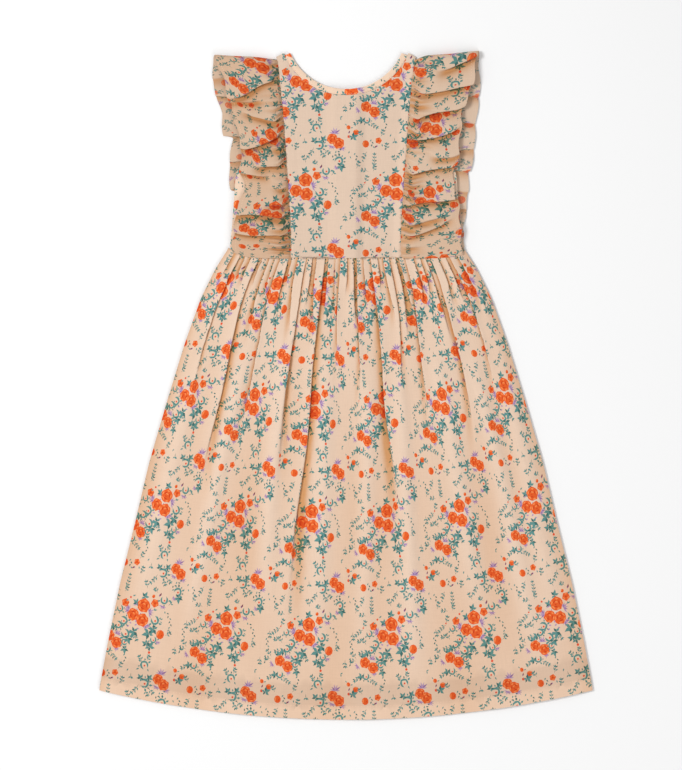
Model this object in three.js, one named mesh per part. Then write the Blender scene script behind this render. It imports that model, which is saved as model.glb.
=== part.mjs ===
// A girl's sleeveless dress with a gathered skirt and ruffled shoulders, laid flat on its back.
// Millimetres. +X is the viewer's right, +Y runs from hem to neck, +Z rises from the surface below.
// While it is built, y = 0 is the middle of the waist seam; the finished group is then centred.
import * as THREE from "three";

// Cloth and clearances
const WALL = 1.2;
const GAP = 0.4;

// Bodice
const NECK_LOW = 201.5;
const NECK_RADIUS = 73.3;
const NECK_TOP = 245;
const BINDING_WIDTH = 7;
const SHOULDER_DROP = 5;
const SEAM_AT_NECK = 82;
const UNDERARM = { x: 132, y: 100 };
const ARMHOLE_TOP = { x: 91, y: 231 };
const ARMHOLE_HOLLOW = 1.8;
const SIDE_SEAM_AT_WAIST = 139;
const SHOULDER_REACH = 12;
const CENTRE_COLUMNS = [0, 0.14, 0.34, 0.5, 0.62, 0.72, 0.8, 0.86, 0.9, 0.95, 1];
const CENTRE_ROWS = [0, 0.04, 0.1, 0.25, 0.45, 0.65, 0.82, 0.93, 1];
const SIDE_ROWS = [0, 8, 20, 45, 75, 100, 120, 145, 175, 205, 231];
const SIDE_COLUMNS = [0, 0.1, 0.25, 0.5, 0.75, 1];

// Back placket and its buttons, which lie between the cloth and the surface
const PLACKET_EDGE = 0.14;
const PLACKET_RAMP = 0.34;
const BUTTON = { radius: 4.5, thick: 1.6, rim: 0.9, dish: 0.4, sides: 16 };
const BUTTON_ROOM = BUTTON.thick + GAP;
const BUTTON_HEIGHTS = [14, 57, 100, 143, 186];

// Waist and skirt
const WAIST_HALF = 140;
const WAIST_RISE = 12;
const WAIST_CORNER = 10;
const SKIRT_DROP = 554;
const HEM_RISE = 35;
const SIDE_DROP = 533;
const HEM_EXTRA = 0.5;
const HEM_DEPTH = 18;

// Half width of the flattened skirt at each drop below the waist corner
const SKIRT_OUTLINE = [
  { drop: 0, half: 140 },
  { drop: 29, half: 157 },
  { drop: 65, half: 174 },
  { drop: 119, half: 193 },
  { drop: 191, half: 215 },
  { drop: 263, half: 236 },
  { drop: 335, half: 253 },
  { drop: 407, half: 271 },
  { drop: 479, half: 286 },
  { drop: 533, half: 296 },
];

// Rows of the skirt: how many folds cross it there, how high they stand, and the back's share of that
const SKIRT_ROWS = [
  { drop: 0, folds: 46, height: 2.6, back: 0.5 },
  { drop: 9, folds: 46, height: 5.4, back: 0.5 },
  { drop: 26, folds: 46, height: 6.2, back: 0.5 },
  { drop: 50, folds: 46, height: 5.4, back: 0.5 },
  { drop: 76, folds: 23, height: 5.6, back: 0.45 },
  { drop: 112, folds: 23, height: 5.4, back: 0.35 },
  { drop: 155, folds: 23, height: 4.6, back: 0.2 },
  { drop: 205, folds: 12, height: 4.6, back: 0 },
  { drop: 265, folds: 12, height: 4, back: 0 },
  { drop: 335, folds: 12, height: 3.4, back: 0 },
  { drop: 407, folds: 12, height: 2.8, back: 0 },
  { drop: 470, folds: 12, height: 2, back: 0 },
  { drop: SIDE_DROP - HEM_DEPTH, folds: 12, height: 1.4, back: 0 },
  { drop: SIDE_DROP, folds: 12, height: 1.2, back: 0 },
];

// Deep creases: place across the skirt from -1 to 1, the drops that they reach between, and depth
const DEEP_FOLDS = [
  { at: -0.71, from: 22, to: 160, depth: 6.5 },
  { at: -0.44, from: 20, to: 120, depth: 4.5 },
  { at: -0.17, from: 40, to: 210, depth: 6.5 },
  { at: -0.03, from: 20, to: 120, depth: 4 },
  { at: 0.22, from: 20, to: 280, depth: 6 },
  { at: 0.43, from: 15, to: 120, depth: 4.5 },
  { at: 0.64, from: 15, to: 210, depth: 6 },
  { at: 0.83, from: 30, to: 160, depth: 4.5 },
];

// Seam between the centre panel and the ruffle
const PRINCESS_SEAM = [
  { y: -5, x: 66 },
  { y: 50, x: 67.5 },
  { y: 108, x: 72 },
  { y: 155, x: 75 },
  { y: 205, x: 79.5 },
  { y: 245, x: 84 },
];

// Free edge of each ruffle, measured from the dress's middle line
const RUFFLE_EDGE = {
  left: {
    front: [
      { y: -5, x: 134 },
      { y: 50, x: 133 },
      { y: 90, x: 136 },
      { y: 130, x: 138 },
      { y: 165, x: 140 },
      { y: 205, x: 145 },
      { y: 243, x: 157 },
    ],
    back: [
      { y: -5, x: 137 },
      { y: 40, x: 137 },
      { y: 78, x: 136 },
      { y: 84, x: 141 },
      { y: 138, x: 141 },
      { y: 148, x: 148 },
      { y: 172, x: 151 },
      { y: 200, x: 158 },
      { y: 243, x: 160 },
    ],
  },
  right: {
    front: [
      { y: -5, x: 136 },
      { y: 50, x: 136 },
      { y: 95, x: 131 },
      { y: 130, x: 136 },
      { y: 165, x: 141 },
      { y: 205, x: 150 },
      { y: 243, x: 158 },
    ],
    back: [
      { y: -5, x: 140 },
      { y: 40, x: 142 },
      { y: 75, x: 146 },
      { y: 110, x: 149 },
      { y: 128, x: 154 },
      { y: 160, x: 156 },
      { y: 200, x: 161 },
      { y: 243, x: 160 },
    ],
  },
};

// Loops of the front ruffle from waist to shoulder: where each crest stands, as a share of the seam,
// and how high it stands at the free edge
const RUFFLE_LOOPS = [
  { at: 0.05, height: 4 },
  { at: 0.15, height: 6.5 },
  { at: 0.255, height: 5 },
  { at: 0.36, height: 7.5 },
  { at: 0.465, height: 5.5 },
  { at: 0.565, height: 7 },
  { at: 0.665, height: 6 },
  { at: 0.765, height: 7.5 },
  { at: 0.87, height: 6 },
];
const RUFFLE_TALLEST = 7.5;
const RUFFLE_COLUMNS = [0, 0.12, 0.35, 0.65, 1];
const RUFFLE_SEAM_GATHER = 1.6;
const RUFFLE_FOOT = 3;
const RUFFLE_TOP_AT_SEAM = 238;
const RUFFLE_TOP_AT_EDGE = 241.5;
const SHOULDER_TURN_STEPS = 5;

// Space that the back ruffle keeps open under the side panels
const STACK_AT_SEAM = 1.8;
const STACK_RISE = 2.5;
const STACK_RAMP = 15;
const STACK_WAIST_RAMP = 25;

const COLOURS = {
  cloth: 0xe9c7a5,
  ruffle: 0xe3bc96,
  binding: 0xeccfb2,
  button: 0xf1e3d0,
};

const { lerp, smoothstep } = THREE.MathUtils;

// Reads a column of a short table at a place between its rows.
function read(table, key, place, column) {
  let i = 1;
  while (i < table.length - 1 && table[i][key] < place) i += 1;
  const [a, b] = [table[i - 1], table[i]];
  const share = THREE.MathUtils.clamp((place - a[key]) / (b[key] - a[key]), 0, 1);
  return lerp(a[column], b[column], share);
}

// An uneven number from 0 to 1 that is the same each time for the same k.
function uneven(k) {
  const wide = Math.sin(k * 12.9898 + 4.1) * 43758.5453;
  return wide - Math.floor(wide);
}

const princess = (y) => read(PRINCESS_SEAM, "y", y, "x");

// Shows how far the waist seam rises towards the side seams, at a place from -1 to 1 across it.
const waistRise = (across) => WAIST_RISE * Math.abs(across) ** WAIST_CORNER;

// A wall of cloth from rows of points. Each point has its place along the row (at) and the wall's
// two faces (under, over); neighbouring rows may have different numbers of points.
function clothWall(rows) {
  const places = [];
  const index = [];
  const first = [];
  for (const row of rows) {
    first.push(places.length / 6);
    for (const p of row) places.push(...p.under, ...p.over);
  }
  const under = (row, i) => 2 * (first[row] + i);
  const over = (row, i) => under(row, i) + 1;
  const face = (a, b, c) => {
    index.push(over(...a), over(...b), over(...c));
    index.push(under(...a), under(...c), under(...b));
  };
  const rim = (a, b) => {
    index.push(under(...a), over(...b), over(...a));
    index.push(under(...a), under(...b), over(...b));
  };
  for (let r = 0; r < rows.length - 1; r += 1) {
    const [upper, lower] = [rows[r], rows[r + 1]];
    let [i, j] = [0, 0];
    while (i < upper.length - 1 || j < lower.length - 1) {
      const lowerNext = lower[j + 1]?.at ?? Infinity;
      const upperNext = upper[i + 1]?.at ?? Infinity;
      if (upperNext <= lowerNext) {
        face([r, i], [r + 1, j], [r, i + 1]);
        i += 1;
      } else {
        face([r, i], [r + 1, j], [r + 1, j + 1]);
        j += 1;
      }
    }
    rim([r, 0], [r + 1, 0]);
    rim([r + 1, lower.length - 1], [r, upper.length - 1]);
  }
  const last = rows.length - 1;
  for (let i = 0; i < rows[0].length - 1; i += 1) rim([0, i + 1], [0, i]);
  for (let i = 0; i < rows[last].length - 1; i += 1) rim([last, i], [last, i + 1]);
  const geometry = new THREE.BufferGeometry();
  geometry.setAttribute("position", new THREE.Float32BufferAttribute(places, 3));
  geometry.setIndex(index);
  geometry.computeVertexNormals();
  return geometry;
}

function flatPoint(at, x, y, low, thick = WALL) {
  return { at, under: [x, y, low], over: [x, y, low + thick] };
}

// The columns of one skirt row: crests and troughs in turn, with the deep creases snapped into place.
function skirtColumns({ drop, folds, height }) {
  const count = 2 * folds;
  const columns = [];
  for (let k = 0; k <= count; k += 1) {
    const edge = k === 0 || k === count;
    const shift = edge ? 0 : (uneven(k + folds) - 0.5) * 0.9;
    const crest = k % 2 === 1;
    columns.push({
      at: -1 + (2 * (k + shift * 0.5)) / count,
      rise: crest ? height * lerp(0.55, 1, uneven(3 * k + folds)) : 0,
    });
  }
  for (const fold of DEEP_FOLDS) {
    if (drop < fold.from || drop > fold.to) continue;
    const k = Math.round(((fold.at + 1) / 2) * count);
    columns[k].at = fold.at;
    columns[k].rise = 0;
    columns[k - 1].rise = fold.depth * 0.8;
    columns[k + 1].rise = fold.depth;
  }
  return columns;
}

function skirtPlace(across, drop) {
  const down = drop / SIDE_DROP;
  const hem = -SKIRT_DROP + HEM_RISE * across ** 2;
  const x = across * read(SKIRT_OUTLINE, "drop", drop, "half");
  return [x, lerp(waistRise(across) - GAP, hem, down)];
}

function skirtPanel(isFront) {
  const rows = SKIRT_ROWS.map((row) =>
    skirtColumns(row).map(({ at, rise }) => {
      const [x, y] = skirtPlace(at, row.drop);
      const backLow = rise * row.back;
      const low = isFront ? backLow + WALL + GAP + rise * (1 - row.back) : backLow;
      const hem = isFront && row.drop === SIDE_DROP ? HEM_EXTRA : 0;
      return flatPoint(at, x, y, low, WALL + hem);
    }),
  );
  return clothWall(rows);
}

// The neck and shoulder line at a distance x from the middle, short of the neck by an inset.
function neckAndShoulder(x, inset) {
  const radius = NECK_RADIUS + inset;
  const middle = NECK_LOW + NECK_RADIUS;
  const reach = Math.sqrt(radius ** 2 - (middle - NECK_TOP) ** 2);
  if (x < reach) return middle - Math.sqrt(radius ** 2 - x ** 2);
  return NECK_TOP - SHOULDER_DROP * ((x - reach) / (SEAM_AT_NECK - reach));
}

// Top of the centre panel at a place from -1 to 1 between its seams, which lean outwards.
function centreTop(across, inset) {
  let y = NECK_TOP;
  for (let round = 0; round < 5; round += 1) {
    y = neckAndShoulder(Math.abs(across) * princess(y), inset);
  }
  return y;
}

// Lowest face of each layer of the bodice's middle, at a place from -1 to 1 across it.
function outerBackLow(across) {
  return BUTTON_ROOM * (1 - smoothstep(across, PLACKET_EDGE, PLACKET_RAMP));
}

function innerBackLow(across) {
  const full = BUTTON_ROOM + WALL + GAP;
  return full * smoothstep(across, -PLACKET_RAMP, -PLACKET_EDGE);
}

function frontLow(across, y) {
  const clear = WALL + GAP;
  const left = innerBackLow(across);
  const stepped = across > PLACKET_EDGE ? 1 - smoothstep(across, PLACKET_EDGE, PLACKET_RAMP) : 1;
  const placket = Math.min(left, (BUTTON_ROOM + WALL + GAP) * stepped);
  const towardSeam = smoothstep(Math.abs(across), 0.8, 1) * STACK_AT_SEAM;
  const shoulder = smoothstep(NECK_TOP - y, 0, SHOULDER_REACH);
  return clear + placket + towardSeam * shoulder;
}

function centrePanel(from, to, lowAt, inset) {
  const mirrored = CENTRE_COLUMNS.slice(1).reverse().map((c) => -c);
  const columns = [...mirrored, ...CENTRE_COLUMNS].filter((c) => c >= from && c <= to);
  const rows = [...CENTRE_ROWS].reverse().map((up) =>
    columns.map((across) => {
      const y = lerp(0, centreTop(across, inset), up);
      return flatPoint(across, across * princess(y), y, lowAt(across, y));
    }),
  );
  return clothWall(rows);
}

// A strip along the neck, from one angle to another round the neck's centre.
function neckBinding(from, to, lowAt) {
  const middle = NECK_LOW + NECK_RADIUS;
  const steps = Math.ceil(Math.abs(to - from) / 0.09);
  const rows = [0, BINDING_WIDTH].map((out) =>
    Array.from({ length: steps + 1 }, (_, i) => {
      const angle = lerp(from, to, i / steps);
      const x = (NECK_RADIUS + out) * Math.sin(angle);
      const y = middle - (NECK_RADIUS + out) * Math.cos(angle);
      return flatPoint(angle, x, y, lowAt(x / princess(y), y));
    }),
  );
  return clothWall(rows);
}

// Lowest face of the back side panel: the back ruffle lies under it.
function stackLow(beyondSeam, y) {
  const out = smoothstep(beyondSeam, 0, STACK_RAMP);
  const up = smoothstep(y, 0, STACK_WAIST_RAMP);
  return STACK_AT_SEAM + STACK_RISE * out * up;
}

function sideOuter(y) {
  if (y <= UNDERARM.y) return lerp(SIDE_SEAM_AT_WAIST, UNDERARM.x, y / UNDERARM.y);
  const up = (y - UNDERARM.y) / (ARMHOLE_TOP.y - UNDERARM.y);
  return lerp(ARMHOLE_TOP.x, UNDERARM.x, Math.max(1 - up, 0) ** ARMHOLE_HOLLOW);
}

// Puts the columns of a piece in order from left to right, whichever side it is on.
function leftToRight(side, columns) {
  return side < 0 ? [...columns].reverse() : columns;
}

function sidePanel(side, layerLow) {
  const columns = leftToRight(side, SIDE_COLUMNS);
  const rows = [...SIDE_ROWS].reverse().map((level) =>
    columns.map((out) => {
      const x = lerp(princess(level) + GAP, sideOuter(level), out);
      const settle = 1 - smoothstep(level, 0, SIDE_ROWS[3]);
      const y = level + waistRise(x / WAIST_HALF) * settle;
      return flatPoint(side * out, side * x, y, layerLow + stackLow(x - princess(level), y));
    }),
  );
  return clothWall(rows);
}

// Stations of one half of a ruffle, from waist to shoulder: troughs and crests in turn,
// with a smaller gather on each side of a crest near the seam.
function ruffleStations() {
  const stations = [{ at: 0, height: 0, gather: 0 }];
  RUFFLE_LOOPS.forEach((loop, i) => {
    const before = i === 0 ? 0 : (RUFFLE_LOOPS[i - 1].at + loop.at) / 2;
    const after = ((RUFFLE_LOOPS[i + 1]?.at ?? 1) + loop.at) / 2;
    stations.push({ at: lerp(before, loop.at, 0.5), height: loop.height * 0.7, gather: 1 });
    stations.push({ at: loop.at, height: loop.height, gather: 0 });
    stations.push({ at: lerp(loop.at, after, 0.5), height: loop.height * 0.7, gather: 1 });
    stations.push({ at: after, height: 0, gather: 0 });
  });
  return stations;
}

function rufflePlace(edgeTable, share, out) {
  const seamY = lerp(RUFFLE_FOOT, RUFFLE_TOP_AT_SEAM, share);
  const edgeY = lerp(RUFFLE_FOOT, RUFFLE_TOP_AT_EDGE, share);
  const level = lerp(seamY, edgeY, out);
  const x = lerp(princess(level) + GAP, read(edgeTable, "y", level, "x"), out);
  return [x, level + waistRise(x / WAIST_HALF) * (1 - smoothstep(level, 0, SIDE_ROWS[3]))];
}

// One ruffle: up the back from the waist, round the shoulder and down the front.
function ruffle(side, edges) {
  const stations = ruffleStations();
  const columns = leftToRight(side, RUFFLE_COLUMNS);
  const half = WALL / 2;
  const frontLevel = (x, y) => stackLow(x - princess(y), y) + 2 * (WALL + GAP) + GAP + half;
  const point = (out, x, y, z, facing) => ({
    at: side * out,
    under: [side * x, y - facing.y * half, z - facing.z * half],
    over: [side * x, y + facing.y * half, z + facing.z * half],
  });
  const back = stations.map(({ at, height, gather }) =>
    columns.map((out) => {
      const [x, y] = rufflePlace(edges.back, at, out);
      const room = Math.max(stackLow(x - princess(y), y) - WALL - 2 * GAP, 0);
      const lift = Math.max(height / RUFFLE_TALLEST, gather * (1 - out)) * room;
      return point(out, x, y, half + lift, { y: 0, z: -1 });
    }),
  );
  const front = stations.map(({ at, height, gather }) =>
    columns.map((out) => {
      const [x, y] = rufflePlace(edges.front, at, out);
      const wave = height * out + gather * RUFFLE_SEAM_GATHER * (1 - out);
      return point(out, x, y, frontLevel(x, y) + wave, { y: 0, z: 1 });
    }),
  );
  const turn = Array.from({ length: SHOULDER_TURN_STEPS }, (_, i) => {
    const share = (i + 1) / (SHOULDER_TURN_STEPS + 1);
    const facing = { y: Math.sin(Math.PI * share), z: -Math.cos(Math.PI * share) };
    return columns.map((out) => {
      const [backX, y] = rufflePlace(edges.back, 1, out);
      const [frontX] = rufflePlace(edges.front, 1, out);
      const radius = (frontLevel(frontX, y) - half) / 2;
      const z = half + radius * (1 + facing.z);
      return point(out, lerp(backX, frontX, share), y + radius * facing.y, z, facing);
    });
  });
  return clothWall([...back, ...turn, ...front.reverse()]);
}

// A round button with a raised rim, lying flat with its face down.
function button() {
  const { radius, thick, rim, dish, sides } = BUTTON;
  const outline = [
    [0, dish],
    [radius - rim, dish],
    [radius - rim / 2, 0],
    [radius, thick / 3],
    [radius, thick],
    [0, thick],
  ];
  const geometry = new THREE.LatheGeometry(outline.map(([r, z]) => new THREE.Vector2(r, z)), sides);
  return geometry.rotateX(Math.PI / 2);
}

const dress = new THREE.Group();

function add(name, geometry, color, roughness = 0.85) {
  const material = new THREE.MeshStandardMaterial({ color, roughness, metalness: 0 });
  const mesh = new THREE.Mesh(geometry, material);
  mesh.name = name;
  dress.add(mesh);
  return mesh;
}

const NECK_ANGLE = Math.acos((NECK_LOW + NECK_RADIUS - NECK_TOP) / NECK_RADIUS);
const PLACKET_ANGLE = Math.asin((PLACKET_EDGE * SEAM_AT_NECK) / NECK_RADIUS);
const INSET = BINDING_WIDTH + 2 * GAP;
const BACK_SIDE_LOW = 0;
const FRONT_SIDE_LOW = WALL + GAP;

add("skirt_back", skirtPanel(false), COLOURS.cloth);
add("skirt_front", skirtPanel(true), COLOURS.cloth);
add("bodice_back_right", centrePanel(-PLACKET_EDGE, 1, outerBackLow, INSET), COLOURS.cloth);
add("bodice_back_left", centrePanel(-1, PLACKET_EDGE, innerBackLow, INSET), COLOURS.cloth);
add("bodice_front", centrePanel(-1, 1, frontLow, INSET), COLOURS.cloth);
add("neck_binding_back_right", neckBinding(-PLACKET_ANGLE, NECK_ANGLE, outerBackLow), COLOURS.binding);
add("neck_binding_back_left", neckBinding(-NECK_ANGLE, PLACKET_ANGLE, innerBackLow), COLOURS.binding);
add("neck_binding_front", neckBinding(-NECK_ANGLE, NECK_ANGLE, frontLow), COLOURS.binding);
for (const [word, side] of [["left", -1], ["right", 1]]) {
  add(`side_back_${word}`, sidePanel(side, BACK_SIDE_LOW), COLOURS.cloth);
  add(`side_front_${word}`, sidePanel(side, FRONT_SIDE_LOW), COLOURS.cloth);
  add(`ruffle_${word}`, ruffle(side, RUFFLE_EDGE[word]), COLOURS.ruffle);
}
BUTTON_HEIGHTS.forEach((y, i) => {
  add(`button_${i + 1}`, button(), COLOURS.button, 0.4).position.set(0, y, 0);
});

const box = new THREE.Box3().setFromObject(dress);
const centre = box.getCenter(new THREE.Vector3());
dress.position.set(-centre.x, -centre.y, -box.min.z);

export default dress;
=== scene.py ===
# A girl's ruffled dress in sheer printed cotton, laid flat and seen from straight above.
# Patterns, folds and prints are worked out in millimetres with y = 0 on the waist seam, as in the
# solids, and each piece is moved into the row's frame, in metres, when its mesh is made.
import math

import bpy
import numpy as np
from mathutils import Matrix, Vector
from mathutils.geometry import delaunay_2d_cdt


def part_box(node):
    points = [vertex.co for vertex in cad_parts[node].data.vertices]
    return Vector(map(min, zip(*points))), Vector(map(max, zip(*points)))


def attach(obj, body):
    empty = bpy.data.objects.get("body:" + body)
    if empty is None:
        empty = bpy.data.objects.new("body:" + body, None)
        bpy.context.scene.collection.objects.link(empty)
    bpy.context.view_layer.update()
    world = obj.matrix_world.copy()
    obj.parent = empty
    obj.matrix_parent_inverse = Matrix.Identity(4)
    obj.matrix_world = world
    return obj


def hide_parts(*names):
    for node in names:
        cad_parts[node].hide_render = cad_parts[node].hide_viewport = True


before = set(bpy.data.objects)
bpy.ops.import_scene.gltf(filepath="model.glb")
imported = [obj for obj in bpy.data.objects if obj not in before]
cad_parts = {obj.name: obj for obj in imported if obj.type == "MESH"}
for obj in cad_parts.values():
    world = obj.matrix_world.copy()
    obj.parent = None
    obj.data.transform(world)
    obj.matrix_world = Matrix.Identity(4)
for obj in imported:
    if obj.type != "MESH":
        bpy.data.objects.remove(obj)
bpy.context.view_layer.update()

MM = 0.001
SIDES = {"left": -1, "right": 1}
WAIST_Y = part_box("bodice_front")[0][1]

# Cloth and clearances, as in the solids
WALL = 1.2
GAP = 0.4
THIN = 0.6

# Bodice
NECK_LOW = 201.5
NECK_RADIUS = 73.3
NECK_MIDDLE = NECK_LOW + NECK_RADIUS
NECK_TOP = 245.0
NECK_TOP_ANGLE = math.acos((NECK_MIDDLE - NECK_TOP) / NECK_RADIUS)
BINDING_WIDTH = 7.0
SHOULDER_DROP = 5.0
SEAM_AT_NECK = 82.0
UNDERARM_X, UNDERARM_Y = 132.0, 100.0
ARMHOLE_TOP_X, ARMHOLE_TOP_Y = 91.0, 231.0
ARMHOLE_HOLLOW = 1.8
SIDE_SEAM_AT_WAIST = 139.0
SHOULDER_REACH = 12.0
PLACKET_EDGE, PLACKET_RAMP = 0.14, 0.34
PLACKET_MIDDLE, PLACKET_HALF = 2.0, 11.0
BUTTON_ROOM = 2.0

# Skirt
WAIST_HALF = 140.0
WAIST_RISE = 12.0
WAIST_CORNER = 10
SKIRT_DROP = 554.0
HEM_RISE = 35.0
SIDE_DROP = 533.0
SKIRT_CUT_HALF = 300.0

SKIRT_OUTLINE = {
    "drop": [0, 29, 65, 119, 191, 263, 335, 407, 479, 533],
    "half": [140, 157, 174, 193, 215, 236, 253, 271, 286, 296],
}

# Seam between the centre panel and the ruffle
PRINCESS_SEAM = {
    "y": [-5, 50, 108, 155, 205, 245],
    "x": [66, 67.5, 72, 75, 79.5, 84],
}

STACK_AT_SEAM = 1.8
STACK_RISE = 2.5
STACK_RAMP = 15.0
STACK_WAIST_RAMP = 25.0


def smoothstep(value, low, high):
    share = np.clip((value - low) / (high - low), 0.0, 1.0)
    return share * share * (3.0 - 2.0 * share)


def fade(value, low, high):
    """Falls smoothly from 1 to 0 between two values."""
    return 1.0 - smoothstep(value, low, high)


def bell(away):
    return np.exp(-away ** 2)


def lerp(a, b, share):
    return a + (b - a) * share


def uneven(k):
    """A number from 0 to 1 that is the same each time for the same k."""
    wide = np.sin(np.asarray(k) * 12.9898 + 4.1) * 43758.5453
    return wide - np.floor(wide)


def smooth_read(table, key, place, column):
    """Reads a table with rounded corners: the mean of three nearby linear readings."""
    keys = np.array(table[key], float)
    step = 0.18 * np.min(np.diff(keys))
    reads = [np.interp(place + shift, keys, table[column]) for shift in (-step, 0.0, step)]
    return sum(reads) / 3.0


def princess(y):
    return smooth_read(PRINCESS_SEAM, "y", y, "x")


def waist_rise(across):
    return WAIST_RISE * np.minimum(np.abs(across), 1.2) ** WAIST_CORNER


# Colours of the print


def linear(red, green, blue):
    channels = np.array([red, green, blue]) / 255.0
    return np.where(channels <= 0.04045, channels / 12.92, ((channels + 0.055) / 1.055) ** 2.4)


PALETTE = {
    "ground": linear(229, 200, 175),
    "rose": linear(228, 94, 36),
    "rose_dark": linear(200, 62, 20),
    "rose_light": linear(245, 142, 80),
    "teal": linear(92, 142, 137),
    "teal_dark": linear(62, 108, 104),
    "lavender": linear(178, 148, 182),
    "lavender_dark": linear(148, 112, 160),
    "red_dot": linear(226, 84, 50),
    "maroon": linear(122, 62, 84),
}
COLOUR_NAMES = list(PALETTE)
COLOUR_ROWS = np.array([PALETTE[name] for name in COLOUR_NAMES])


# Shapes of the print. Each gives a list of (colour, points), with later ones lying over earlier ones.


def turned(points, x, y, turn):
    angle = math.radians(turn)
    points = np.asarray(points, float)
    cos, sin = math.cos(angle), math.sin(angle)
    return np.stack([x + cos * points[:, 0] - sin * points[:, 1],
                     y + sin * points[:, 0] + cos * points[:, 1]], axis=1)


def step_from(x, y, length, angle):
    """The point at a length and an angle in degrees from another."""
    return x + length * math.cos(math.radians(angle)), y + length * math.sin(math.radians(angle))


def leaf(x, y, length, turn, colour="teal", plump=0.42):
    half = 0.51 * length * plump
    shape = [(0, 0), (0.5 * length, -half), (length, 0), (0.4 * length, half)]
    return [(colour, turned(shape, x, y, turn))]


def stem(x, y, length, turn):
    half, reach = 0.09 * length, 0.86 * length
    return [("teal_dark", turned([(0, 0), (reach, -half), (reach, half)], x, y, turn))]


def round_shape(sides, reach, squash=1.0):
    """Points all round a middle. reach gives their distance from it at each angle."""
    angles = np.arange(sides) * 2.0 * math.pi / sides
    far = reach(angles)
    return np.stack([far * np.cos(angles), far * squash * np.sin(angles)], axis=1)


def disc(x, y, radius, colour, sides=5, squash=1.0, turn=0.0):
    return [(colour, turned(round_shape(sides, lambda angles: radius, squash), x, y, turn))]


def crescent(x, y, radius, start, sweep, thick, colour):
    shape = [step_from(x, y, radius, start + sweep * i / 3.0) for i in range(4)]
    shape.append(step_from(x, y, radius - 1.1 * thick, start + sweep / 2.0))
    return [(colour, np.array(shape))]


def rose(x, y, size, turn=0):
    """A full rose: a lumpy head with paler petals round a darker, off-centre heart."""
    edge = round_shape(15, lambda angles: size * (
        1.04 + 0.06 * np.cos(5.0 * angles + turn) + 0.05 * np.cos(8.0 * angles + 1.0)))
    shapes = [("rose", turned(edge, x, y, turn))]
    for i in range(5):
        start = turn + 72 * i + 24 * float(uneven(i + turn))
        petal = (0.86 + 0.05 * (i % 2)) * size
        shapes += crescent(x, y, petal, start, 42 + 7 * (i % 3), 0.25 * size, "rose_light")
    for i in range(3):
        shapes += crescent(x, y, 0.58 * size, turn + 120 * i + 50, 78, 0.2 * size, "rose_dark")
    heart = (x + 0.06 * size * math.cos(turn), y + 0.07 * size)
    shapes += crescent(*heart, 0.32 * size, turn - 30, 130, 0.2 * size, "rose_light")
    shapes += crescent(*heart, 0.3 * size, turn + 150, 90, 0.14 * size, "rose_dark")
    return shapes


def small_rose(x, y, size, turn=0):
    edge = round_shape(10, lambda angles: size * (1.02 + 0.1 * np.cos(5.0 * angles)))
    shapes = [("rose", turned(edge, x, y, turn))]
    for i in range(3):
        shapes += crescent(x, y, 0.8 * size, turn + 120 * i, 70, 0.32 * size, "rose_light")
    return shapes + disc(x, y, 0.24 * size, "rose_dark", 4)


def bud(x, y, size, turn=0):
    shapes = disc(x, y, size, "rose", 9, 0.92, turn)
    shapes += crescent(x, y, 0.8 * size, turn + 20, 110, 0.36 * size, "rose_light")
    return shapes + crescent(x, y, 0.5 * size, turn + 200, 90, 0.2 * size, "rose_dark")


def sprig(x, y, size, turn=0, pairs=3, bend=25, colour="teal"):
    """A bent stem with leaves in pairs and one at its tip."""
    shapes = []
    step = 1.22 * size / (pairs + 0.6)
    heading = turn
    for i in range(pairs):
        shapes += stem(x, y, step, heading)
        x, y = step_from(x, y, step, heading)
        length = 4.3 - 0.3 * i
        shapes += leaf(x, y, length, heading + 52, colour, 0.46)
        shapes += leaf(x, y, 0.9 * length, heading - 48, "teal_dark" if i % 2 else colour, 0.48)
        heading += bend / pairs
    return shapes + leaf(x, y, 3.6, heading, colour, 0.46)


def trail(x, y, size, turn=0, count=6, bend=60):
    """A row of loose small leaves along a bent line."""
    shapes = []
    heading = turn
    for i in range(count):
        side = 1 if i % 2 else -1
        shapes += leaf(x, y, 3.4, heading + 35 * side, "teal_dark" if i % 3 else "teal", 0.5)
        x, y = step_from(x, y, 1.15 * size / count, heading)
        heading += bend / count
    return shapes


def ring(x, y, size, turn=0, teeth=4):
    """A curled leaf round a red dot, with a comb of leaflets on its outside."""
    size = 1.16 * size
    arc = [turn + 300 * i / 7.0 for i in range(8)]
    inside = [0.58, 0.5, 0.63, 0.52, 0.62, 0.57]
    shape = [step_from(x, y, size, a) for a in arc]
    shape += [step_from(x, y, size * r, a) for a, r in zip(arc[-2:0:-1], inside)]
    shapes = [("teal", np.array(shape))]
    for i in range(teeth):
        angle = turn + 60 + 165 * i / max(teeth - 1, 1)
        root = step_from(x, y, 1.01 * size, angle)
        colour = "teal_dark" if i % 3 == 1 else "teal"
        shapes += leaf(*root, (0.8 - 0.25 * (i % 2)) * size, angle + 24, colour, 0.6)
    return shapes + disc(x + 0.08 * size, y - 0.1 * size, 0.24 * size, "red_dot")


def foliage(x, y, size, turn=0):
    """A hand of broad leaves."""
    size = 1.4 * size
    leaves = ((1.0, 0, "teal", 0.5), (0.82, 58, "teal_dark", 0.5), (0.88, -62, "teal", 0.52),
              (0.66, 150, "teal", 0.55), (0.66, -140, "teal_dark", 0.5))
    shapes = []
    for length, angle, colour, plump in leaves:
        shapes += leaf(x, y, length * size, turn + angle, colour, plump)
    return shapes


def spray(x, y, size, turn=0):
    """A fan of thin lavender petals."""
    shapes = []
    for i in range(6):
        angle = turn - 80 + 32 * i
        length = size * (1.0 + 0.4 * float(uneven(i + size)))
        shapes += leaf(x, y, length, angle, "lavender_dark" if i % 3 == 1 else "lavender", 0.25)
    return shapes


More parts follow.
